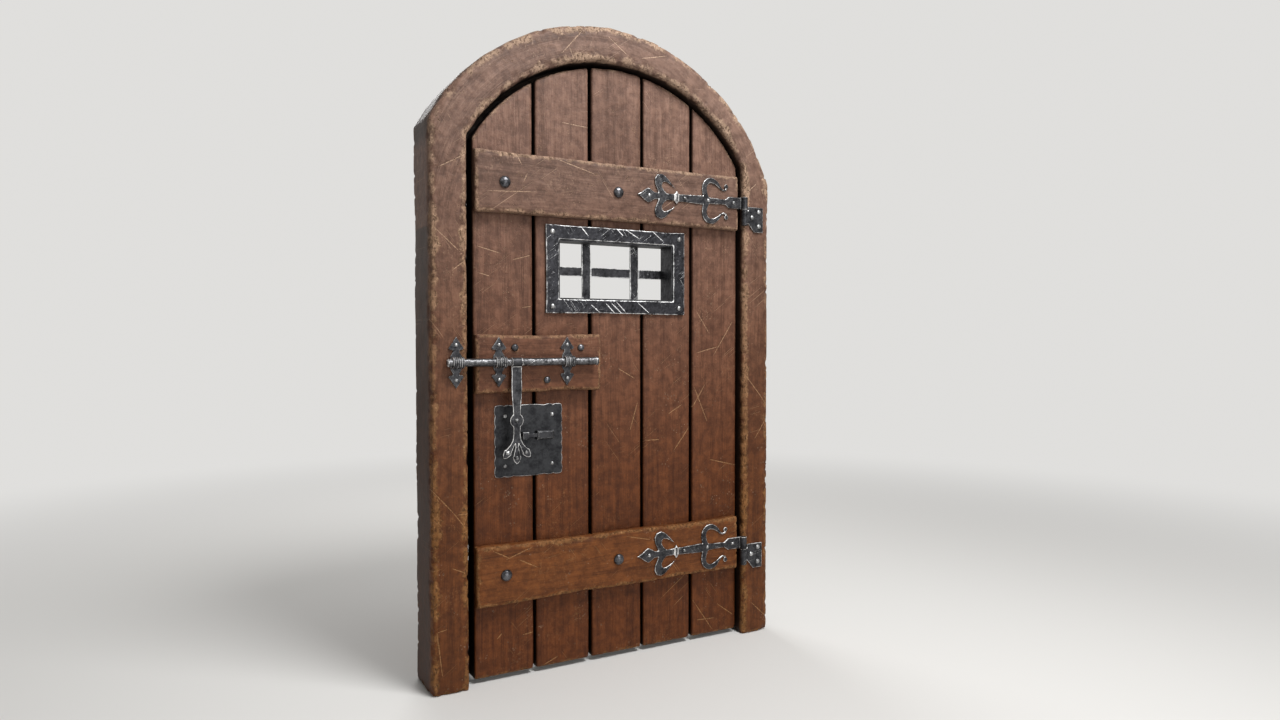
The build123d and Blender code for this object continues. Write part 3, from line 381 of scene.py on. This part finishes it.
def wood(name, reach, patches, golden, tan, strokes, low, high):
    material, tree, skin = new_material(name)
    room = add(tree, "TexCoord").outputs["Object"]
    board = add(tree, "Attribute", attribute_name="grain").outputs["Vector"]
    arris = add(tree, "Attribute", attribute_name="near_arris").outputs["Fac"]
    painted_shading = add(tree, "Attribute", attribute_name="painted_shading").outputs["Fac"]
    height = add(tree, "SeparateXYZ", {0: room}).outputs["Z"]
    grain = use_group(tree, grain_group, {"Board place": board})
    sockets = {"Place": room, "Near arris": arris, "Reach": reach, "Patches": patches}
    wear = use_group(tree, wear_group, sockets)
    fine_marks = use_group(tree, scratch_group, {"Place": room, "Gate": 0.7})["Mask"]
    marks = calc(tree, "MAXIMUM", fine_marks, draw_gouges(tree, room, strokes, 0.0019))
    pits = use_group(tree, pit_group, {"Place": room})
    # Painted height light: lighter, greyer and cooler towards the head and warmer and darker low down, a painted
    # sheen of the light from above.
    level = fade(tree, height, 0.40, 2.00)
    shade = tint(tree, level, low, high)
    body = tint(tree, 1.0, grain["Colour"], shade, "MULTIPLY")
    mottle = fade(tree, cloud(tree, room, 34.0, 5.0, 0.72), 0.34, 0.66)
    dull = tint(tree, mottle, (0.72, 0.68, 0.66, 1.0), (1.20, 1.18, 1.14, 1.0))
    body = tint(tree, 1.0, body, dull, "MULTIPLY")
    # The worn colour and the scratch colour below follow the same painted height light: golden low down, tan-grey
    # high up.
    rubbed = tint(tree, level, golden, tan)
    body = tint(tree, calc(tree, "MULTIPLY", wear["Wear"], 0.58), body, rubbed)
    body = tint(tree, calc(tree, "MULTIPLY", wear["Chips"], 0.70), body, (0.050, 0.021, 0.009, 1.0))
    line = tint(tree, level, (0.42, 0.22, 0.09, 1.0), (0.60, 0.42, 0.30, 1.0))
    body = tint(tree, calc(tree, "MULTIPLY", wear["Flecks"], 0.75), body, line)
    body = tint(tree, calc(tree, "MULTIPLY", marks, 0.74), body, line)
    body = tint(tree, calc(tree, "MULTIPLY", pits["Rim"], 0.6), body, (0.38, 0.24, 0.15, 1.0))
    body = tint(tree, pits["Pit"], body, (0.035, 0.016, 0.008, 1.0))
    # Painted shade: the gaps round the leaf, the joints between the boards and the frame's side towards the wall are
    # darkened almost to black, where shade falls.
    body = tint(tree, calc(tree, "MULTIPLY", painted_shading, 0.93), body, (0.006, 0.004, 0.003, 1.0))
    join(tree, skin["Base Color"], body)
    rough = calc(tree, "ADD", 0.44, calc(tree, "MULTIPLY", grain["Height"], 0.10))
    join(tree, skin["Roughness"], calc(tree, "ADD", rough, calc(tree, "MULTIPLY", wear["Wear"], 0.15)))
    dents = calc(tree, "ADD", calc(tree, "MULTIPLY", wear["Chips"], -1.9), calc(tree, "MULTIPLY", marks, -1.6))
    dents = calc(tree, "SUBTRACT", dents, pits["Pit"])
    relief = calc(tree, "ADD", calc(tree, "MULTIPLY", grain["Height"], 0.35), dents)
    relief = calc(tree, "ADD", relief, calc(tree, "MULTIPLY", mottle, 0.8))
    relief = calc(tree, "MULTIPLY", relief, calc(tree, "SUBTRACT", 1.0, painted_shading))
    bump = add(tree, "Bump", {"Strength": 0.8, "Distance": 0.0013, "Height": relief})
    join(tree, skin["Normal"], bump.outputs[0])
    skin["Specular IOR Level"].default_value = 0.18
    return material

# low and high are each wood's painted height light at the floor and at the head; the ledges get a lighter one low
# down.
frame_wood = wood("worn_frame_wood", reach=0.0115, patches=1.3, golden=(0.27, 0.125, 0.040, 1.0),
                  tan=(0.42, 0.29, 0.20, 1.0), strokes=frame_gouges,
                  low=(0.73, 0.48, 0.235, 1.0), high=(1.03, 1.28, 1.70, 1.0))
leaf_look = {"reach": 0.0085, "patches": 0.5, "golden": (0.24, 0.115, 0.042, 1.0)}
leaf_look |= {"tan": (0.40, 0.27, 0.185, 1.0), "strokes": leaf_gouges}
leaf_wood = wood("oiled_leaf_wood", low=(0.66, 0.40, 0.19, 1.0), high=(1.10, 1.30, 1.68, 1.0), **leaf_look)
ledge_wood = wood("oiled_ledge_wood", low=(0.86, 0.57, 0.255, 1.0), high=(0.94, 1.22, 1.68, 1.0), **leaf_look)
print("wood materials:", frame_wood.name, leaf_wood.name, ledge_wood.name)

# %% [markdown]
# ## Forged iron
# The ironwork is black from the fire, with a mottled hammered face. Its edges and highest places are
# rubbed to bright metal, which draws a thin light line round each piece. A group makes the mottle, the
# hammer marks and the rubbed edge. Each iron below gives its grey, its bright colour, how far the bright
# edge reaches, how much is rubbed, how much smoother it is, and how deep the hammer marks are.

# %% Hammered iron group
def make_iron_group():
    takes = [("Place", "Vector", None), ("Near edge", "Float", 0.0), ("Reach", "Float", 0.0016)]
    takes += [("Black", "Color", (0.012, 0.012, 0.014, 1.0)), ("Grey", "Color", (0.10, 0.10, 0.105, 1.0))]
    takes += [("Bright", "Color", (0.62, 0.61, 0.60, 1.0)), ("Rubbing", "Float", 0.5)]
    gives = [("Colour", "Color"), ("Roughness", "Float"), ("Height", "Float")]
    group, into, out = new_group("hammered_iron", takes, gives)
    place = into["Place"]
    mottle = cloud(group, place, 120.0, 6.0, 0.7)
    broad = cloud(group, place, 38.0, 3.0, 0.5)
    sockets = {"Vector": place, "Scale": 105.0, "Smoothness": 0.6}
    blows = add(group, "TexVoronoi", sockets, feature="SMOOTH_F1").outputs["Distance"]
    clouds = calc(group, "ADD", calc(group, "MULTIPLY", mottle, 0.5), calc(group, "MULTIPLY", broad, 0.5))
    colour = tint(group, fade(group, clouds, 0.34, 0.60), into["Black"], into["Grey"])
    gap = calc(group, "MULTIPLY", calc(group, "SUBTRACT", 1.0, into["Near edge"]), edge_range)
    edge = calc(group, "DIVIDE", gap, into["Reach"])
    ragged = calc(group, "MULTIPLY", calc(group, "ADD", mottle, broad), 1.5)
    rubbed = fade(group, calc(group, "SUBTRACT", ragged, edge), 0.25, 0.95)
    speckle = calc(group, "MULTIPLY", fade(group, mottle, 0.64, 0.74), into["Rubbing"])
    bright = calc(group, "MAXIMUM", rubbed, speckle)
    join(group, out["Colour"], tint(group, bright, colour, into["Bright"]))
    join(group, out["Roughness"], calc(group, "ADD", 0.36, calc(group, "MULTIPLY", mottle, 0.22)))
    height = calc(group, "ADD", calc(group, "MULTIPLY", blows, 1.2), calc(group, "MULTIPLY", mottle, 0.5))
    join(group, out["Height"], height)
    return group

iron_group = make_iron_group()
print("hammered iron:", len(iron_group.nodes), "nodes")

# %% Make the iron materials
def iron(name, grey, bright, reach, rubbing, smooth, depth, strokes=()):
    material, tree, skin = new_material(name)
    room = add(tree, "TexCoord").outputs["Object"]
    edge = add(tree, "Attribute", attribute_name="near_arris").outputs["Fac"]
    sockets = {"Place": room, "Near edge": edge, "Reach": reach}
    sockets |= {"Grey": grey, "Bright": bright, "Rubbing": rubbing}
    face = use_group(tree, iron_group, sockets)
    marks = use_group(tree, scratch_group, {"Place": room, "Gate": rubbing, "Closeness": 2.4})["Mask"]
    marks = calc(tree, "MAXIMUM", marks, draw_gouges(tree, room, strokes, 0.0016)) if strokes else marks
    join(tree, skin["Base Color"], tint(tree, marks, face["Colour"], bright))
    join(tree, skin["Roughness"], calc(tree, "SUBTRACT", face["Roughness"], smooth))
    bump = add(tree, "Bump", {"Strength": 0.7, "Distance": depth, "Height": face["Height"]})
    join(tree, skin["Normal"], bump.outputs[0])
    skin["Metallic"].default_value = 0.85
    return material

forged_iron = iron("forged_iron", (0.058, 0.058, 0.062, 1.0), (0.68, 0.67, 0.66, 1.0), 0.0020, 0.45, 0.0, 0.0009)
border_iron = iron("window_border_iron", (0.036, 0.036, 0.041, 1.0), (0.80, 0.80, 0.80, 1.0), 0.0032, 0.85, 0.02,
                   0.0013, border_gouges)
plate_iron = iron("flat_plate_iron", (0.040, 0.041, 0.044, 1.0), (0.60, 0.59, 0.58, 1.0), 0.0017, 0.06, -0.06, 0.0003)
rod_iron = iron("polished_bolt_iron", (0.14, 0.14, 0.145, 1.0), (1.0, 0.99, 0.98, 1.0), 0.0012, 1.3, 0.10, 0.0016)
grille_iron = iron("grille_iron", (0.048, 0.048, 0.052, 1.0), (0.85, 0.85, 0.85, 1.0), 0.0022, 1.1, 0.04, 0.0012)
keeper_iron = iron("keeper_iron", (0.058, 0.058, 0.062, 1.0), (0.52, 0.52, 0.52, 1.0), 0.0012, 0.4, 0.02, 0.0008)
catch_iron = iron("catch_iron", (0.045, 0.045, 0.048, 1.0), (0.42, 0.42, 0.42, 1.0), 0.0006, 0.1, 0.0, 0.0003)
stud_iron = iron("stud_iron", (0.13, 0.13, 0.14, 1.0), (0.60, 0.60, 0.60, 1.0), 0.0010, 0.4, 0.16, 0.0006)
# Painted highlight: the rivet heads' iron is light grey all over, in place of the light their domes catch.
rivet_iron = iron("rivet_iron", (0.48, 0.48, 0.48, 1.0), (0.80, 0.80, 0.80, 1.0), 0.0010, 0.5, 0.16, 0.0004)
print("iron materials: 9")

# %% [markdown]
# ## A dense skin over a plain solid
# The loaded solids are exact but plain: flat faces and knife-sharp edges. The real pieces are hewn and
# hammered, so each one gets a new skin. A copy of the solid is merged, remeshed into small even squares,
# smoothed a little so that its edges turn round, and then moved point by point with noise. Every point
# also keeps how far it is from the solid's own sharp edges, which tells the materials where wear begins.

# %% Copy and merge a solid
from mathutils import kdtree, noise

def merged_copy(*names):
    shape = bmesh.new()
    for name in names:
        shape.from_mesh(nodes[name].data)
    bmesh.ops.remove_doubles(shape, verts=shape.verts, dist=0.00001)
    return shape

def sharp_edge_finder(shape, shortest, step, skip=None, angle=0.6):
    marks = []
    for edge in shape.edges:
        if len(edge.link_faces) != 2 or edge.calc_length() < shortest or edge.calc_face_angle() < angle:
            continue
        first, last = (corner.co for corner in edge.verts)
        if skip and skip((first + last) / 2):
            continue
        count = int((last - first).length / step) + 2
        marks += [first.lerp(last, part / (count - 1)) for part in range(count)]
    finder = kdtree.KDTree(max(1, len(marks)))
    for index, mark in enumerate(marks):
        finder.insert(mark, index)
    finder.balance()
    return finder

# %% Remesh it into small squares
def remeshed(name, shape, cell):
    rough = as_object(name + "_rough", shape)
    squares = rough.modifiers.new("squares", "REMESH")
    squares.mode = "VOXEL"
    squares.voxel_size = cell
    seen_now = rough.evaluated_get(bpy.context.evaluated_depsgraph_get())
    dense = bmesh.new()
    dense.from_mesh(bpy.data.meshes.new_from_object(seen_now))
    bpy.data.objects.remove(rough)
    return dense

def smooth(shape, rounds, points=None):
    for _ in range(rounds):
        bmesh.ops.smooth_vert(shape, verts=points or shape.verts, factor=0.5,
                              use_axis_x=True, use_axis_y=True, use_axis_z=True)

# %% Keep what the materials read, and hand the piece over
def keep_number(thing, name, number_of):
    layer = thing.data.attributes.new(name, "FLOAT", "POINT")
    layer.data.foreach_set("value", [number_of(point.co) for point in thing.data.vertices])

def keep_arris(thing, finder):
    keep_number(thing, "near_arris", lambda place: max(0.0, 1.0 - finder.find(place)[2] / edge_range))

def keep_grain(thing, place_of, seed):
    layer = thing.data.attributes.new("grain", "FLOAT_VECTOR", "POINT")
    values = []
    for point in thing.data.vertices:
        across, through, along = place_of(point.co)
        values += [across + seed * 3.17, through + seed * 1.31, along + seed * 5.73]
    layer.data.foreach_set("vector", values)

def hand_over(thing, material, slot, *names):
    thing.data.materials.append(material)
    for face in thing.data.polygons:
        face.use_smooth = True
    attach(thing, nodes[names[0]]["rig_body"])
    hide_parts(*names)
    print(thing.name, "faces:", len(thing.data.polygons))

# %% [markdown]
# ## The frame's timber
# Two uprights and a round head are one continuous ring of wood in the photograph, with no joint to be
# seen, so their three solids are remeshed together. The outer front arris is worn to a broad round, which
# more smoothing gives there, and chips are pushed inwards along all the arrises. The grain runs up one
# side, round the head and down the other, so a point's place is measured along that line.

# %% Places along the frame
head_centre = Vector((-0.020, 0.0, 1.403))
head_radius = 0.684
frame_half = 0.625
opening_half = 0.504
opening_spring = 1.38
opening_radius = 0.587

def frame_place(point):
    x, z = point.x - head_centre.x, point.z - head_centre.z
    if z < 0.0:
        return abs(x), point.y, z if x < 0.0 else math.pi * head_radius - z
    return math.hypot(x, z), point.y, head_radius * (math.pi - math.atan2(z, x))

def hewn(shape, finder, wave, chip, reach):
    shape.normal_update()
    moves = []
    for point in shape.verts:
        gap = finder.find(point.co)[2] or 1.0
        sink = wave * (0.5 + 0.5 * noise.noise(point.co * 11.0))
        bite = noise.noise(point.co * 48.0) + 0.5 * noise.noise(point.co * 110.0)
        if gap < reach and bite > 0.12:
            sink += chip * min(1.0, (bite - 0.12) * 3.0) * (1.0 - gap / reach)
        moves.append(point.normal * -sink)
    for point, move in zip(shape.verts, moves):
        point.co += move

def rise(value, start, end):
    part = min(1.0, max(0.0, (value - start) / (end - start)))
    return part * part * (3.0 - 2.0 * part)

# Painted shade: darkens the frame's side that faces the gap round the leaf, and its outer side towards the wall,
# where little light falls.
def painted_frame_shading(point):
    if point.z < opening_spring:
        inner = abs(point.x) - opening_half
    else:
        inner = math.hypot(point.x, point.z - opening_spring) - opening_radius
    if point.z < head_centre.z:
        outer = frame_half - abs(point.x)
    else:
        outer = head_radius - math.hypot(point.x - head_centre.x, point.z - head_centre.z)
    gap_side = rise(point.y, -0.066, -0.045) * rise(-inner, -0.022, -0.010)
    wall_side = rise(point.y, -0.062, -0.030) * rise(-outer, -0.035, -0.020)
    return max(gap_side, 0.72 * wall_side) * rise(-point.y, -0.108, -0.095)

# %% Build the frame's timber
def hidden_joint(middle):
    on_shoulder = abs(middle.z - 1.6809) < 0.004
    in_mortise = middle.z > 1.69 and abs(middle.x) > 0.45 and abs(middle.y) < 0.05
    return on_shoulder or in_mortise

timbers = ("left_jamb", "right_jamb", "arch_head")
plain = merged_copy(*timbers)
frame_finder = sharp_edge_finder(plain, 0.015, 0.004, hidden_joint)
ring = remeshed("frame_timber", plain, 0.0066)
outer = [point for point in ring.verts if frame_place(point.co)[0] > head_radius - 0.085 and point.co.y < -0.03]
outer = [point for point in outer if frame_finder.find(point.co)[2] < 0.032]
smooth(ring, 2)
smooth(ring, 18, outer)
hewn(ring, frame_finder, 0.0026, 0.0055, 0.026)
timber = as_object("frame_timber", ring)
keep_arris(timber, frame_finder)
keep_number(timber, "painted_shading", painted_frame_shading)
keep_grain(timber, frame_place, 1.0)
hand_over(timber, frame_wood, "frame_wood", *timbers)

# %% [markdown]
# ## The leaf's boards
# Five upright planks carry three ledges. Planks run with their grain up, ledges with it across. They are
# smoother than the frame, and only their corners are a little broken.

# %% Build the planks and ledges
def upright(point):
    return point.x, point.y, point.z

def lying(point):
    return point.z, point.y, point.x

# Painted shade on the boards' sides just behind their front face, in the joints between them.
def painted_joint_shading(point):
    return rise(point.y, -0.0345, -0.026) * rise(-point.y, -0.031, -0.022)

def board(name, place_of, cell, seed, wave, chip, ease, material=leaf_wood):
    shape = merged_copy(name)
    finder = sharp_edge_finder(shape, 0.012, 0.004, angle=0.28)
    dense = remeshed(name, shape, cell)
    front = min(point.co.y for point in dense.verts) + 0.012
    smooth(dense, 1)
    smooth(dense, ease, [point for point in dense.verts if point.co.y < front and finder.find(point.co)[2] < 0.014])
    hewn(dense, finder, wave, chip, 0.012)
    thing = as_object(name + "_board", dense)
    keep_arris(thing, finder)
    keep_grain(thing, place_of, seed)
    keep_number(thing, "painted_shading", painted_joint_shading)
    hand_over(thing, material, "leaf_wood", name)

plank_names = ("plank_lock_edge", "plank_window_left", "plank_above_window", "plank_below_window")
plank_names += ("plank_window_right", "plank_hinge_edge")
for turn, name in enumerate(plank_names):
    board(name, upright, 0.0055, 2.0 + turn, 0.0012, 0.0026, 2)
for turn, name in enumerate(("top_ledge", "bottom_ledge", "lock_ledge")):
    across = leaf_wood if name == "lock_ledge" else ledge_wood
    board(name, lying, 0.0042, 11.0 + turn, 0.0016, 0.0034, 7, across)

# %% [markdown]
# ## Flat and forged ironwork
# Straps, keepers, plates and the window's border are remeshed with far smaller squares, because they are
# only a few millimetres thick. Light hammering moves their faces by a fraction of a millimetre, and the
# outlines stay as they were cut.

# %% Build the ironwork
def hammered(name, material, slot, cell, depth, rounds=1):
    shape = merged_copy(name)
    finder = sharp_edge_finder(shape, 0.0012, 0.0012)
    dense = remeshed(name, shape, cell)
    smooth(dense, rounds)
    dense.normal_update()
    for point in dense.verts:
        point.co -= point.normal * depth * (0.5 + 0.5 * noise.noise(point.co * 95.0))
    thing = as_object(name + "_iron", dense)
    keep_arris(thing, finder)
    hand_over(thing, material, slot, name)

for name in ("upper_strap", "lower_strap", "upper_pintle_plate", "lower_pintle_plate"):
    hammered(name, forged_iron, "forged_iron", 0.0018, 0.0006)
for name in ("frame_keeper", "outer_keeper", "inner_keeper"):
    hammered(name, keeper_iron, "forged_iron", 0.0013, 0.0004)
hammered("hasp", forged_iron, "forged_iron", 0.0013, 0.0004)
hammered("window_border", border_iron, "forged_iron", 0.0023, 0.0012)
for name in ("grille_bar_left", "grille_bar_right", "grille_crossbar"):
    hammered(name, grille_iron, "forged_iron", 0.0020, 0.0006)
hammered("lock_plate", plate_iron, "forged_iron", 0.0013, 0.0002)
for name in ("catch_bar", "catch_guide"):
    hammered(name, catch_iron, "forged_iron", 0.0009, 0.0002)
hammered("bolt_rod", rod_iron, "bolt_iron", 0.0015, 0.0009)

# %% [markdown]
# ## Nails, rivets and studs
# Every head is a forged dome, not quite round. Its place and size are read from the plain solid, island
# by island. A profile line is spun round the nail's own axis, and a little noise takes away the machined
# look. The spin gives its faces in an order that changes from run to run, so they are put in order of their
# corners afterwards, and every run makes the same mesh.

# %% Find each nail in a solid
def islands(shape):
    seen = set()
    for first in shape.verts:
        if first in seen:
            continue
        seen.add(first)
        found = [first]
        for point in found:
            for edge in point.link_edges:
                other = edge.other_vert(point)
                if other not in seen:
                    seen.add(other)
                    found.append(other)
        yield found

def nail_facts(points):
    low = Vector([min(point.co[axis] for point in points) for axis in range(3)])
    high = Vector([max(point.co[axis] for point in points) for axis in range(3)])
    middle = (low + high) / 2
    radius = (high.z - low.z) / 2
    reach = radius * 0.93
    rim = [point.co.y for point in points if math.hypot(point.co.x - middle.x, point.co.z - middle.z) > reach]
    return middle, radius, low.y, max(rim), high.y

# %% Spin a nail
def spun_nail(shape, middle, radius, crown, rim, tip, steps):
    brim = rim - 0.0004
    line = [(0.0, crown)]
    for angle in (70, 48, 26, 8):
        wide, tall = math.cos(math.radians(angle)), math.sin(math.radians(angle))
        line.append((wide * radius, brim - tall * (brim - crown)))
    line += [(radius, rim), (radius * 0.5, rim), (radius * 0.5, tip), (0.0, tip)]
    corners = [shape.verts.new((middle.x + wide, along, middle.z)) for wide, along in line]
    wires = [shape.edges.new(pair) for pair in zip(corners, corners[1:])]
    bmesh.ops.spin(shape, geom=corners + wires, cent=(middle.x, 0.0, middle.z), axis=(0.0, 1.0, 0.0),
                   angle=math.tau, steps=steps, use_merge=True)

def put_in_order(shape):
    shape.verts.index_update()
    ranked = sorted(shape.faces, key=lambda face: sorted(corner.index for corner in face.verts))
    for rank, face in enumerate(ranked):
        face.index = rank
    shape.faces.sort()

def nails(name, material, steps, dent):
    shape = merged_copy(name)
    facts = [nail_facts(points) for points in islands(shape)]
    shape.free()
    heads = bmesh.new()
    for fact in facts:
        spun_nail(heads, *fact, steps)
    bmesh.ops.remove_doubles(heads, verts=heads.verts, dist=0.00002)
    bmesh.ops.recalc_face_normals(heads, faces=heads.faces)
    put_in_order(heads)
    heads.normal_update()
    for point in heads.verts:
        point.co -= point.normal * dent * (0.5 + 0.5 * noise.noise(point.co * 240.0))
    thing = as_object(name + "_heads", heads)
    hand_over(thing, material, "nail_iron", name)

for name in ("frame_keeper_nails", "leaf_keeper_nails", "pintle_nails", "strap_nails", "window_rivets"):
    nails(name, rivet_iron, 20, 0.0004)
for name in ("lock_plate_nails", "hasp_rivets"):
    nails(name, rivet_iron, 18, 0.0003)
nails("large_studs", stud_iron, 36, 0.0011)
nails("small_studs", stud_iron, 24, 0.0007)

# %% [markdown]
# ## What stays as it was modelled
# The window's sheet liner, the hinge pins, the roves, the grille's nails and the two head pegs have the
# right shape already. They only get a finish.

# %% Finish the remaining solids
def finish_solid(name, material):
    nodes[name].data.materials.clear()
    nodes[name].data.materials.append(material)

for name in ("window_liner", "upper_hinge_pin", "lower_hinge_pin", "stud_roves", "grille_nails"):
    finish_solid(name, forged_iron)
finish_solid("head_pegs", leaf_wood)
print("kept solids: 6")

# %% Finish
import json
